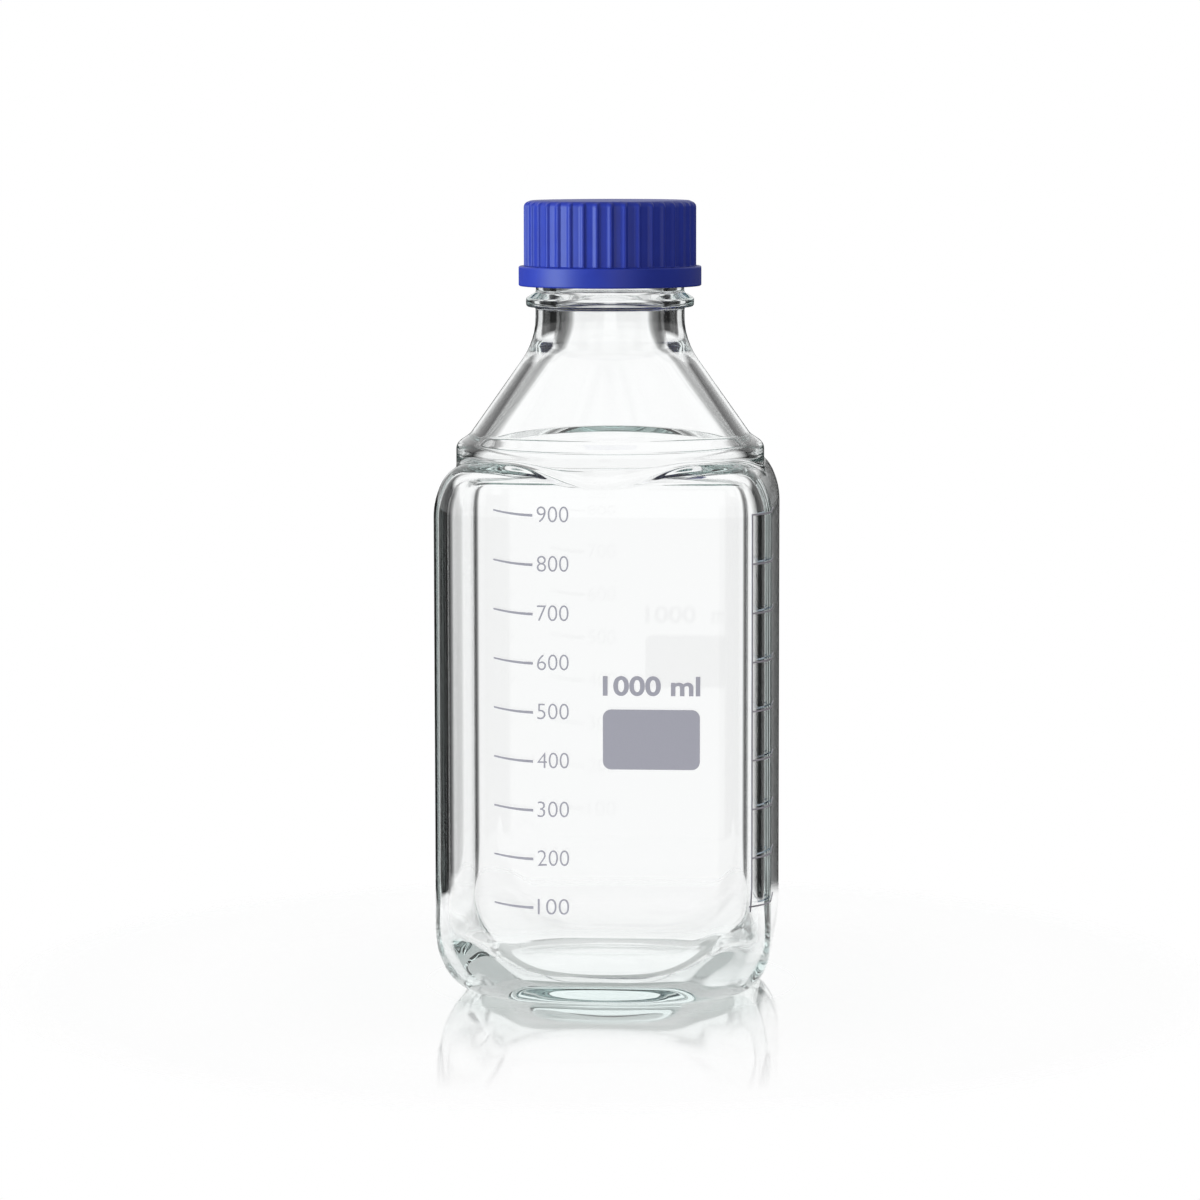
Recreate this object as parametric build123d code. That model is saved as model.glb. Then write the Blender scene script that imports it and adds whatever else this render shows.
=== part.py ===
"""A square media bottle of clear borosilicate glass for 1000 ml, with its pouring ring and ribbed screw cap.

Millimetres. The origin is the middle of the base, on the surface that the bottle stands on. +Z runs up the axis
of the neck, and the face with the printed scale looks along -Y.
"""

from build123d import *

import math
import os

# Body: a rounded square, blown in a mould, with a rounded heel and a rounded shoulder. Towards the base the
# corners draw in further than the sides, to an almost round foot.
body_side = 95.0
body_corner_radius = 17.0
heel_inset = 11.0  # how far the heel brings a side in at the base
heel_height = 18.0
corner_draw_height = 42.0  # where the corners begin to draw in
corner_foot_inset = 7.4  # the circle that they end on lies this far in from the sides
corner_draw_margin = 0.3  # how far outside the corners that curve begins
upright_height = 137.5  # where the walls stop being upright
shoulder_radius = 21.0
brow_radius = 10.0  # the tighter curve that turns the shoulder over to the level ledge
brow_angle = 28.4  # how far the shoulder has leaned in where the brow begins, in degrees

# Inside of the body. The glass is thicker in the corners, because the inner corners are rounder.
wall = 3.8
inner_heel_inset = 9.0
inner_heel_height = 12.0
base_thickness = 6.5
punt_depth = 1.6  # the hollow under the base
foot_width = 6.5  # the flat foot around that hollow, measured at the middle of a side

# Cone and neck: all turned about the axis.
collar_inset = 3.4  # from the flat of a side in to the collar, the short upright band at the foot of the cone
collar_rise = 3.6  # from the ledge to the top corner of that band
collar_round = 3.0
roll_slope = 56.0  # lean of the roll between the collar and the cone, in degrees from the axis
roll_round = 4.0
cone_slope = 35.3  # half angle of the cone, in degrees
cone_step = 3.9  # from the collar in to the foot of the cone
neck_step = 0.1  # how much wider the neck is than the root of the thread above it
neck_round = 21.0
bore_round = 15.0
inner_collar_round = 6.0

# Transfer bead: the collar of glass below the thread.
bead_reach = 2.7  # how far it stands out from the neck
bead_height = 2.5
bead_slope_height = 1.7
bead_rise = 9.6  # from the neck's corner with the cone to the flat underside of the bead
bead_round = 0.7
bead_under_round = 0.4
bead_slope_round = 0.6

# Thread and mouth.
thread_root_radius = 21.2
thread_pitch = 4.0
thread_depth = 1.3
thread_root_width = 2.1
thread_crest_width = 0.9
thread_turns = 2.0
thread_gap = 7.4  # plain neck from the bead up to the lower end of the thread
thread_land = 2.7  # from the upper end of the thread to the snap groove
snap_groove_depth = 0.5
snap_groove_height = 1.5
snap_groove_round = 0.2
lip_step = 2.0  # how far the lip lies in from the root of the thread
lip_wall = 3.7
lip_height = 2.8
lip_round = 1.2
mouth_slope_round = 0.5  # where the neck turns in towards the groove

# Pouring ring: snapped over the lip.
ring_top_thickness = 1.2
ring_skirt_thickness = 1.5
ring_drip_edge = 0.4  # how far the pouring edge stands out past the skirt
ring_drip_height = 1.0
ring_bore_inset = 0.5  # how far the ring reaches in past the bore of the glass
ring_running_clearance = 0.1

# Screw cap.
cap_bead_clearance = 1.75  # from the top of the bead up to the cap's lower edge
cap_wall = 1.05  # from the bore that carries the thread out to the foot of the ribs
cap_flange_reach = 2.1  # how far the flange stands out from the drum
cap_flange_height = 5.7
cap_flange_round = 0.5
cap_top_round = 1.7
cap_top_thickness = 2.1
cap_rib_count = 38
cap_rib_height = 0.65
cap_rib_width = 1.5
cap_rib_end_drop = 1.3  # from the top face down to the rounded ends of the ribs
cap_thread_turns = 1.6
thread_radial_clearance = 0.45
thread_load_clearance = 0.25  # along the axis, between the two flanks that carry the load
thread_run_out = 0.5  # plain bore past the top of the thread
cap_seat_clearance = 0.25
cap_ring_clearance = 0.4  # radial, around the pouring edge
cap_bore_ease = 1.4  # height of the slope between the thread's bore and the bore around the ring
cap_bore_round = 0.2
cap_ceiling_round = 0.4
cap_mouth_chamfer = 0.5
lip_seal_clearance = 0.3
lip_seal_thickness = 1.4
lip_seal_length = 2.8

# Enamel print, fired on the outside of the glass.
print_thickness = 0.15
tick_count = 9
tick_spacing = 13.75
tick_first_height = 29.4
tick_left = -29.1
tick_length = 10.9
tick_rise = 1.5  # the left end of a tick stands this much higher than its right end
tick_middle_rise = 0.45  # and its middle this much, so the stroke is a little hollow
tick_thick = 0.75
tick_thin = 0.45
field_width = 27.0
field_height = 16.8
field_corner_radius = 2.3
field_centre_x = 14.8
field_centre_height = 77.0
side_tick_thick = 0.45
side_line_width = 0.5
side_tick_reach = 12.0  # how far the side ticks run on past the corner
side_line_drop = 1.5  # the side scale's upright line ends this far below its lowest tick

ridge_embed = 0.4  # how deep a thread ridge or a rib starts inside the wall that it grows from
cut_overrun = 1.0  # how far the bore's cut runs on past the mouth

# Heights and radii that follow from the sizes above. Heights are above the base.
half_side = body_side / 2
punt_radius = half_side - heel_inset - foot_width
corner_foot_radius = half_side - corner_foot_inset
inner_corner_radius = body_corner_radius - wall
collar_radius = half_side - collar_inset
cone_foot_radius = collar_radius - cone_step
neck_radius = thread_root_radius + neck_step
bead_radius = neck_radius + bead_reach
thread_crest_radius = thread_root_radius + thread_depth
lip_radius = thread_root_radius - lip_step
snap_groove_radius = lip_radius - snap_groove_depth
bore_radius = lip_radius - lip_wall
ledge_height = (
    upright_height
    + shoulder_radius * math.sin(math.radians(brow_angle))
    + brow_radius * (1 - math.sin(math.radians(brow_angle)))
)
collar_top = ledge_height + collar_rise
cone_foot_height = collar_top + (collar_radius - cone_foot_radius) / math.tan(math.radians(roll_slope))
neck_foot_height = cone_foot_height + (cone_foot_radius - neck_radius) / math.tan(math.radians(cone_slope))
bead_bottom = neck_foot_height + bead_rise
bead_top = bead_bottom + bead_height + bead_slope_height
thread_low = bead_top + thread_gap
thread_top = thread_low + thread_pitch * thread_turns
snap_groove_bottom = thread_top + thread_land
lip_bottom = snap_groove_bottom + snap_groove_height
mouth_height = lip_bottom + lip_height

ring_top = mouth_height + ring_running_clearance + ring_top_thickness
ring_bore_radius = bore_radius - ring_bore_inset
ring_skirt_radius = lip_radius + ring_running_clearance + ring_skirt_thickness

cap_bottom = bead_top + cap_bead_clearance
cap_ceiling = ring_top + cap_seat_clearance
cap_top = cap_ceiling + cap_top_thickness
cap_thread_crest_radius = thread_root_radius + thread_radial_clearance
cap_bore_radius = thread_crest_radius + thread_radial_clearance
cap_drum_radius = cap_bore_radius + cap_wall
cap_flange_radius = cap_drum_radius + cap_flange_reach
cap_upper_bore_radius = ring_skirt_radius + ring_drip_edge + cap_ring_clearance


def rounded_square_solid(side, corner_radius, section):
    """The solid that has the same wall section all round a rounded square.

    The section is a face on the XZ plane, from x = 0 at the centre of a corner's curve out to the wall. It is
    extruded along the four sides and turned about the four corners.
    """
    reach = side / 2 - corner_radius
    extent = section.bounding_box()
    solid = Pos(0, 0, extent.min.Z) * Box(
        2 * reach, 2 * reach, extent.size.Z, align=(Align.CENTER, Align.CENTER, Align.MIN)
    )
    flank = Pos(reach, reach, 0) * extrude(section, 2 * reach, dir=(0, -1, 0))
    corner = Pos(reach, reach, 0) * revolve(section, Axis.Z, 90)
    for quarter in range(4):
        solid += Rot(0, 0, 90 * quarter) * flank
        solid += Rot(0, 0, 90 * quarter) * corner
    return solid


def wall_section(corner_radius, bottom, heel, rise, shoulder, brow):
    """Section from a corner's centre to the wall: level base, elliptical heel, upright wall, shoulder and brow."""
    lean = math.radians(brow_angle)
    heel_centre = (corner_radius - heel, bottom + rise)
    shoulder_centre = (corner_radius - shoulder, upright_height)
    brow_centre = (
        shoulder_centre[0] + (shoulder - brow) * math.cos(lean),
        upright_height + (shoulder - brow) * math.sin(lean),
    )
    top = brow_centre[1] + brow
    with BuildSketch(Plane.XZ) as sketch:
        with BuildLine():
            Line((0, bottom), (heel_centre[0], bottom))
            EllipticalCenterArc(heel_centre, heel, rise, -90, arc_size=90)
            Line((corner_radius, heel_centre[1]), (corner_radius, upright_height))
            CenterArc(shoulder_centre, shoulder, 0, brow_angle)
            CenterArc(brow_centre, brow, brow_angle, 90 - brow_angle)
            Line((brow_centre[0], top), (0, top))
            Line((0, top), (0, bottom))
        make_face()
    return sketch.sketch.face()


def turned(points, radii):
    """The solid turned about the axis inside a line of (radius, height) points, with its inner corners rounded."""
    low, high = points[0][1], points[-1][1]
    with BuildSketch(Plane.XZ) as sketch:
        with BuildLine():
            FilletPolyline(*points, radius=radii)
            if points[-1][0] > 0:
                Line(points[-1], (0, high))
            Line((0, high), (0, low))
            if points[0][0] > 0:
                Line((0, low), points[0])
        make_face()
    return revolve(sketch.sketch, Axis.Z)


def thread_ridge(root_radius, crest_radius, turns, low):
    """A right-handed helical ridge of trapezoid section, from height low, that grows from root to crest."""
    outward = math.copysign(1, crest_radius - root_radius)
    buried_width = thread_root_width + (thread_root_width - thread_crest_width) * ridge_embed / thread_depth
    path = Helix(thread_pitch, thread_pitch * turns, root_radius)
    section = make_face(
        Polyline(
            (-outward * ridge_embed, -buried_width / 2),
            (outward * thread_depth, -thread_crest_width / 2),
            (outward * thread_depth, thread_crest_width / 2),
            (-outward * ridge_embed, buried_width / 2),
            close=True,
        )
    )
    start = Plane(path @ 0, x_dir=(1, 0, 0), z_dir=path % 0)
    return Pos(0, 0, low) * sweep(start * section, path=path, is_frenet=True)


def punt_ball(top):
    """A ball whose crest is at height top and which is as wide as the punt one punt depth lower."""
    ball_radius = (punt_radius**2 + punt_depth**2) / (2 * punt_depth)
    return Pos(0, 0, top - ball_radius) * Sphere(ball_radius)


def drawn_corners(side, corner_radius, foot_radius, bottom):
    """The turned form that draws the corners in: a quarter ellipse from the foot's circle out past the corners."""
    reach = (side / 2 - corner_radius) * math.sqrt(2) + corner_radius + corner_draw_margin
    with BuildSketch(Plane.XZ) as sketch:
        with BuildLine():
            Line((0, bottom), (foot_radius, bottom))
            EllipticalCenterArc(
                (foot_radius, corner_draw_height),
                reach - foot_radius,
                corner_draw_height - bottom,
                -90,
                arc_size=90,
            )
            Line((reach, corner_draw_height), (reach, collar_top))
            Line((reach, collar_top), (0, collar_top))
            Line((0, collar_top), (0, bottom))
        make_face()
    return revolve(sketch.sketch, Axis.Z)


def make_body_form(skin):
    """The closed outer form of the square body, grown outwards by skin."""
    side = body_side + 2 * skin
    corner_radius = body_corner_radius + skin
    section = wall_section(
        corner_radius, -skin, heel_inset + skin, heel_height + skin, shoulder_radius + skin, brow_radius + skin
    )
    drawn = drawn_corners(side, corner_radius, corner_foot_radius + skin, -skin)
    return rounded_square_solid(side, corner_radius, section) & drawn


def make_cavity():
    """The space inside the glass: body, cone and bore."""
    side = body_side - 2 * wall
    section = wall_section(
        inner_corner_radius,
        base_thickness,
        inner_heel_inset,
        inner_heel_height,
        shoulder_radius - wall,
        brow_radius - wall,
    )
    body = rounded_square_solid(side, inner_corner_radius, section)
    body &= drawn_corners(side, inner_corner_radius, corner_foot_radius - wall, base_thickness)
    body -= punt_ball(base_thickness + punt_depth)
    slope = math.tan(math.radians(cone_slope))
    inset = wall / math.cos(math.radians(cone_slope))
    inner_collar_radius = collar_radius - wall
    cone_corner = cone_foot_height + (cone_foot_radius - inset - inner_collar_radius) / slope
    bore_corner = cone_foot_height + (cone_foot_radius - inset - bore_radius) / slope
    cone = turned(
        [
            (inner_collar_radius, upright_height),
            (inner_collar_radius, cone_corner),
            (bore_radius, bore_corner),
            (bore_radius, mouth_height + cut_overrun),
        ],
        [inner_collar_round, bore_round],
    )
    return body + cone


def make_bottle():
    """The glass: square body, cone, neck, bead, thread and lip in one piece, hollow throughout."""
    outline = [
        (collar_radius, upright_height),
        (collar_radius, collar_top),
        (cone_foot_radius, cone_foot_height),
        (neck_radius, neck_foot_height),
        (neck_radius, bead_bottom),
        (bead_radius, bead_bottom),
        (bead_radius, bead_bottom + bead_height),
        (thread_root_radius, bead_top),
        (thread_root_radius, snap_groove_bottom - (thread_root_radius - snap_groove_radius)),
        (snap_groove_radius, snap_groove_bottom),
        (snap_groove_radius, lip_bottom - snap_groove_depth),
        (lip_radius, lip_bottom),
        (lip_radius, mouth_height),
        (bore_radius, mouth_height),
    ]
    radii = [collar_round, roll_round, neck_round, bead_under_round, bead_round, bead_round, bead_slope_round]
    radii += [mouth_slope_round, snap_groove_round, snap_groove_round, snap_groove_round, lip_round]
    neck = turned(outline, radii)
    thread = thread_ridge(thread_root_radius, thread_crest_radius, thread_turns, thread_low)
    glass = make_body_form(0) + neck + thread
    glass -= punt_ball(punt_depth)
    return glass - make_cavity()


def make_pouring_ring():
    """The ring that is snapped over the lip: flat top, sharp pouring edge, and a skirt with a snap bead."""
    seat = mouth_height + ring_running_clearance
    skirt_inside = lip_radius + ring_running_clearance
    snap_inside = snap_groove_radius + ring_running_clearance
    snap_low = snap_groove_bottom + ring_running_clearance
    snap_high = lip_bottom - snap_groove_depth
    with BuildSketch(Plane.XZ) as sketch:
        with BuildLine():
            Polyline(
                (ring_bore_radius, seat),
                (ring_bore_radius, ring_top),
                (ring_skirt_radius + ring_drip_edge, ring_top),
                (ring_skirt_radius, ring_top - ring_drip_height),
                (ring_skirt_radius, snap_low),
                (snap_inside, snap_low),
                (snap_inside, snap_high - ring_running_clearance),
                (skirt_inside, lip_bottom - ring_running_clearance),
                (skirt_inside, seat),
                close=True,
            )
        make_face()
    return revolve(sketch.sketch, Axis.Z)


def make_cap_rib():
    """One rounded gripping rib at +X, from the flange up to its rounded upper end."""
    top = cap_top - cap_rib_end_drop
    root = cap_drum_radius - ridge_embed
    with BuildSketch() as sketch:
        with BuildLine():
            Line((root, cap_rib_width / 2), (root, -cap_rib_width / 2))
            Line((root, -cap_rib_width / 2), (cap_drum_radius, -cap_rib_width / 2))
            ThreePointArc(
                (cap_drum_radius, -cap_rib_width / 2),
                (cap_drum_radius + cap_rib_height, 0),
                (cap_drum_radius, cap_rib_width / 2),
            )
            Line((cap_drum_radius, cap_rib_width / 2), (root, cap_rib_width / 2))
        make_face()
    low = cap_bottom + cap_flange_height - ridge_embed
    bar = Pos(0, 0, low) * extrude(sketch.sketch, top - low)
    envelope = turned(
        [
            (cap_drum_radius + cap_rib_height, low),
            (cap_drum_radius + cap_rib_height, top),
            (cap_drum_radius - ridge_embed, top),
        ],
        [cap_rib_height],
    )
    return bar & envelope


def make_screw_cap():
    """The cap: flange, ribbed drum, flat top with a lip seal under it, and the thread inside."""
    shoulder = cap_bottom + cap_flange_height
    cap = turned(
        [
            (0, cap_bottom),
            (cap_flange_radius, cap_bottom),
            (cap_flange_radius, shoulder),
            (cap_drum_radius, shoulder),
            (cap_drum_radius, cap_top),
            (0, cap_top),
        ],
        [cap_flange_round, cap_flange_round, cap_flange_round, cap_top_round],
    )
    rib = make_cap_rib()
    cap += [Rot(0, 0, 360 * n / cap_rib_count) * rib for n in range(cap_rib_count)]
    thread_end = thread_top + thread_root_width / 2 + thread_run_out
    cap -= turned(
        [
            (cap_bore_radius + cap_mouth_chamfer, cap_bottom),
            (cap_bore_radius, cap_bottom + cap_mouth_chamfer),
            (cap_bore_radius, thread_end),
            (cap_upper_bore_radius, thread_end + cap_bore_ease),
            (cap_upper_bore_radius, cap_ceiling),
            (0, cap_ceiling),
        ],
        [cap_bore_round, cap_bore_round, cap_bore_round, cap_ceiling_round],
    )
    seal_radius = ring_bore_radius - lip_seal_clearance
    seal = Cylinder(seal_radius, lip_seal_length + ridge_embed, align=(Align.CENTER, Align.CENTER, Align.MAX))
    seal -= Cylinder(
        seal_radius - lip_seal_thickness, lip_seal_length + ridge_embed, align=(Align.CENTER, Align.CENTER, Align.MAX)
    )
    cap += Pos(0, 0, cap_ceiling + ridge_embed) * seal
    flank_slope = (thread_root_width - thread_crest_width) / (2 * thread_depth)
    overlap = thread_crest_radius - cap_thread_crest_radius
    drop = thread_crest_width + flank_slope * overlap + thread_load_clearance
    return cap + thread_ridge(cap_bore_radius, cap_thread_crest_radius, cap_thread_turns, thread_low - drop)


def tick_shape(height):
    """One line of the front scale, as a face on the XZ plane: a slightly hollow stroke, finer at its left end."""
    left, right = tick_left, tick_left + tick_length
    middle = (left + right) / 2
    sag = height + tick_middle_rise
    with BuildSketch(Plane.XZ) as sketch:
        with BuildLine():
            ThreePointArc(
                (left, height + tick_rise + tick_thin / 2),
                (middle, sag + (tick_thin + tick_thick) / 4),
                (right, height + tick_thick / 2),
            )
            Line((right, height + tick_thick / 2), (right, height - tick_thick / 2))
            ThreePointArc(
                (right, height - tick_thick / 2),
                (middle, sag - (tick_thin + tick_thick) / 4),
                (left, height + tick_rise - tick_thin / 2),
            )
            Line((left, height + tick_rise - tick_thin / 2), (left, height + tick_rise + tick_thin / 2))
        make_face()
    return sketch.sketch


def make_enamel_print():
    """The fired print: front scale, marking field, and the side scale that runs round the right-hand corner."""
    skin = make_body_form(print_thickness) - make_body_form(0)
    depth = half_side
    heights = [tick_first_height + tick_spacing * n for n in range(tick_count)]
    inks = [extrude(tick_shape(height), depth + print_thickness) for height in heights]
    field = Plane.XZ * Pos(field_centre_x, field_centre_height) * RectangleRounded(
        field_width, field_height, field_corner_radius
    )
    inks.append(extrude(field, depth + print_thickness))
    corner_centre = half_side - body_corner_radius
    line_middle = corner_centre + body_corner_radius * math.sqrt(0.5)
    low = heights[0] - side_line_drop
    side_line = Box(
        2 * body_corner_radius, side_line_width, heights[-1] - low, align=(Align.MIN, Align.CENTER, Align.MIN)
    )
    side_scale = Pos(corner_centre, -corner_centre, low) * Rot(0, 0, -45) * side_line
    reach = line_middle - corner_centre + side_tick_reach
    side_tick = Box(2 * body_corner_radius, reach, side_tick_thick, align=(Align.MIN, Align.MIN, Align.CENTER))
    for height in heights:
        side_scale += Pos(corner_centre, -line_middle, height) * side_tick
    inks.append(side_scale)
    return Compound([solid for ink in inks for solid in (skin & ink).solids()])


def main():
    """Builds each piece and writes it to its own file."""
    os.makedirs("parts", exist_ok=True)
    pieces = {
        "bottle": make_bottle(),
        "pouring_ring": make_pouring_ring(),
        "screw_cap": make_screw_cap(),
        "enamel_print": make_enamel_print(),
    }
    for name, shape in pieces.items():
        export_step(shape, f"parts/{name}.step")


main()
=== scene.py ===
"""Looks of a square media bottle: clear borosilicate glass, fired enamel print, blue screw cap, pouring ring.

Every mesh is a surface worked out with numpy. A form's own sizes are in millimetres and are turned to metres when
its mesh is made. The origin is the middle of the base, +Z runs up the axis of the neck, and the face with the
printed scale looks along -Y.
"""

import logging
import math
from dataclasses import dataclass, field
from enum import Enum

import bpy
import numpy as np
from mathutils import Matrix, Vector


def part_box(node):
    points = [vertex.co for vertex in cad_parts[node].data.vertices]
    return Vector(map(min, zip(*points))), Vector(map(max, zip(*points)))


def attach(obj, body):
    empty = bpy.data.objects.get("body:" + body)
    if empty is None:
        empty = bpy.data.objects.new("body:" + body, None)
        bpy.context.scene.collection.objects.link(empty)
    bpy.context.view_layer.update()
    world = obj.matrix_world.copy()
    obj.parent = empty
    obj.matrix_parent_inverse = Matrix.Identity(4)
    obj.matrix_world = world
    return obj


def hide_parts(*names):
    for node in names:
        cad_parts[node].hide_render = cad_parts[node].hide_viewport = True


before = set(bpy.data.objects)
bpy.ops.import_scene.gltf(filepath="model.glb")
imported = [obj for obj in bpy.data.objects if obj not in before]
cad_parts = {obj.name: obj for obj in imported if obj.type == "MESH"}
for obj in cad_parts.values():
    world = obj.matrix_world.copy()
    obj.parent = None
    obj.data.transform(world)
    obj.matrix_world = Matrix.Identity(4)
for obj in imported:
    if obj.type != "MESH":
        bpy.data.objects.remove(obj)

log = logging.getLogger("media_bottle")

MM = 0.001
IMAGE_SIDE = 1200

Profile = list[tuple[float, float]]
Tree = bpy.types.NodeTree
Node = bpy.types.Node
Socket = bpy.types.NodeSocket
Material = bpy.types.Material
Piece = bpy.types.Object


class ThreadSide(Enum):
    """Which way a thread grows from the wall that carries it."""

    OUTWARD = 1
    INWARD = -1


class Letters(Enum):
    """The two weights of printed characters, as a thickening of the outline relative to the character height."""

    LIGHT = -0.012
    BOLD = 0.026


# --- Small tools


def linear_colour(code: str) -> tuple[float, float, float, float]:
    """Turns an sRGB hex code to a linear colour, by the sRGB curve: a straight start, then a power of 2.4.

    Args:
        code: six hex digits, such as "a7a5ae".

    Returns:
        Red, green, blue and an alpha of 1, in linear light.
    """
    parts = [int(code[i : i + 2], 16) / 255 for i in (0, 2, 4)]
    red, green, blue = (p / 12.92 if p <= 0.04045 else ((p + 0.055) / 1.055) ** 2.4 for p in parts)
    return red, green, blue, 1.0


def add_node(
    tree: Tree, kind: str, inputs: dict[str | int, object] | None = None, **settings: object
) -> Node:
    """Adds a node with its settings, its plain input values and its links.

    Args:
        tree: the node tree that gets the node.
        kind: the node's type without its common prefix, such as "Math".
        inputs: a value, or another node's output to link, for each input by name or number.
        settings: attributes of the node itself, such as operation.

    Returns:
        The new node.
    """
    node = tree.nodes.new("ShaderNode" + kind)
    for name, value in settings.items():
        setattr(node, name, value)
    for key, value in (inputs or {}).items():
        if isinstance(value, Socket):
            tree.links.new(value, node.inputs[key])
        else:
            node.inputs[key].default_value = value
    return node


def linear_grey(light: float) -> tuple[float, float, float, float]:
    """A grey of the given light, with an alpha of 1."""
    return light, light, light, 1.0


def reckon(tree: Tree, operation: str, *values: object) -> Socket:
    """Adds a math node for an operation on plain values or linked outputs, and returns its output."""
    return add_node(tree, "Math", dict(enumerate(values)), operation=operation).outputs[0]


def ramped(
    tree: Tree, value: Socket, span: tuple[float, float], low: object = 0.0, high: object = 1.0, **settings: object
) -> Socket:
    """Adds a ramp that runs from low to high while a value crosses a span, in either direction.

    Args:
        tree: the node tree that gets the ramp.
        value: output that gives the value.
        span: the values where the ramp starts and ends.
        low: a number, or another node's output to link, for the start.
        high: the same for the end.
        settings: attributes of the node itself, such as interpolation_type.

    Returns:
        The ramp's output.
    """
    inputs = {"Value": value, "From Min": span[0], "From Max": span[1], "To Min": low, "To Max": high}
    return add_node(tree, "MapRange", inputs, **settings).outputs[0]


def mixed_colour(
    tree: Tree, factor: Socket, first: object, second: object
) -> Socket:
    """Adds a mix of two colours, from the first at a factor of 0 to the second at 1, and returns its output."""
    return add_node(tree, "Mix", {"Factor": factor, 6: first, 7: second}, data_type="RGBA").outputs[2]


def mixed_shader(
    tree: Tree, factor: Socket, first: Node, second: Node
) -> Node:
    """Adds a mix of two shaders, from the first at a factor of 0 to the second at 1, and returns it."""
    return add_node(tree, "MixShader", {0: factor, 1: first.outputs[0], 2: second.outputs[0]})


def add_piece(name: str, mesh: bpy.types.Mesh) -> Piece:
    """Puts a mesh into the scene as an object at the origin."""
    piece = bpy.data.objects.new(name, mesh)
    bpy.context.scene.collection.objects.link(piece)
    return piece


def smooth_piece(name: str, points: np.ndarray, faces: list[list[int]]) -> Piece:
    """Makes a smooth-shaded piece of points in metres and faces by their indices."""
    mesh = bpy.data.meshes.new(name)
    mesh.from_pydata(points.tolist(), [], faces)
    mesh.update()
    mesh.polygons.foreach_set("use_smooth", np.ones(len(mesh.polygons), bool))
    return add_piece(name, mesh)


def aimed(place: Vector, look: Vector) -> Matrix:
    """The placing of a lamp or camera that stands at a place and looks along a direction."""
    return Matrix.Translation(place) @ look.to_track_quat("-Z", "Y").to_matrix().to_4x4()


def new_material(name: str) -> tuple[Material, Tree, Node]:
    """Makes an empty node material and returns it with its tree and its output node."""
    material = bpy.data.materials.new(name)
    material.use_nodes = True
    material.node_tree.nodes.clear()
    return material, material.node_tree, add_node(material.node_tree, "OutputMaterial")


def rounded_line(corners: Profile, radii: list[float], arc_step: float = 6.0, ease: float = 0.12) -> np.ndarray:
    """Points along straight runs whose corners are turned by circular arcs.

    An arc of radius r at a corner that turns by an angle a starts r tan(a / 2) before the corner. Each straight
    run also has a point a small ease in from both ends, so that smooth shading stays flat on it.

    Args:
        corners: (radius, height) of each corner, ends included, in millimetres.
        radii: arc radius at each corner between the ends.
        arc_step: degrees of turn from one point to the next on an arc.
        ease: how far in from the ends of a straight run its extra points lie, in millimetres.

    Returns:
        An array of (radius, height) rows.
    """
    knots = np.array(corners, float)
    points = [knots[:1]]
    for before, corner, after, radius in zip(knots, knots[1:], knots[2:], radii):
        inward = (before - corner) / np.linalg.norm(before - corner)
        onward = (after - corner) / np.linalg.norm(after - corner)
        turn = math.pi - math.acos(float(np.clip(inward @ onward, -1, 1)))
        reach = radius * math.tan(turn / 2)
        middle = (inward + onward) / np.linalg.norm(inward + onward)
        centre = corner + middle * radius / math.cos(turn / 2)
        steps = max(3, math.ceil(math.degrees(turn) / arc_step))
        share = np.linspace(-0.5, 0.5, steps + 1)[:, None] * turn
        across = (onward - inward) / np.linalg.norm(onward - inward)
        points.append(centre - middle * radius * np.cos(share) + across * radius * np.sin(share))
        assert reach < np.linalg.norm(before - corner), "an arc is longer than its straight run"
    points.append(knots[-1:])
    eased = []
    for run, following in zip(points, points[1:]):
        gap = following[0] - run[-1]
        length = np.linalg.norm(gap)
        inset = min(ease, length / 4) / max(length, 1e-9)
        eased += [run, run[-1] + gap * inset, run[-1] + gap * (1 - inset)]
    return np.vstack([np.atleast_2d(p) for p in (*eased, points[-1])])


def refined(profile: np.ndarray, low: float, high: float, step: float) -> np.ndarray:
    """Adds points about every step along the runs of a profile that lie between two heights.

    Args:
        profile: (radius, height) rows.
        low: lowest height to refine.
        high: highest height to refine.
        step: largest distance between two points there, in millimetres.

    Returns:
        The profile with the added rows, each on the straight line between its neighbours.
    """
    gaps = np.linalg.norm(np.diff(profile, axis=0), axis=1)
    middles = (profile[1:, 1] + profile[:-1, 1]) / 2
    pieces = np.where((middles > low) & (middles < high), np.ceil(gaps / step), 1).astype(int)
    starts = np.repeat(np.arange(len(pieces)), pieces)
    share = (np.arange(pieces.sum()) - np.repeat(np.cumsum(pieces) - pieces, pieces)) / pieces[starts]
    inner = profile[starts] + (profile[starts + 1] - profile[starts]) * share[:, None]
    return np.vstack([inner, profile[-1:]])


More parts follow.
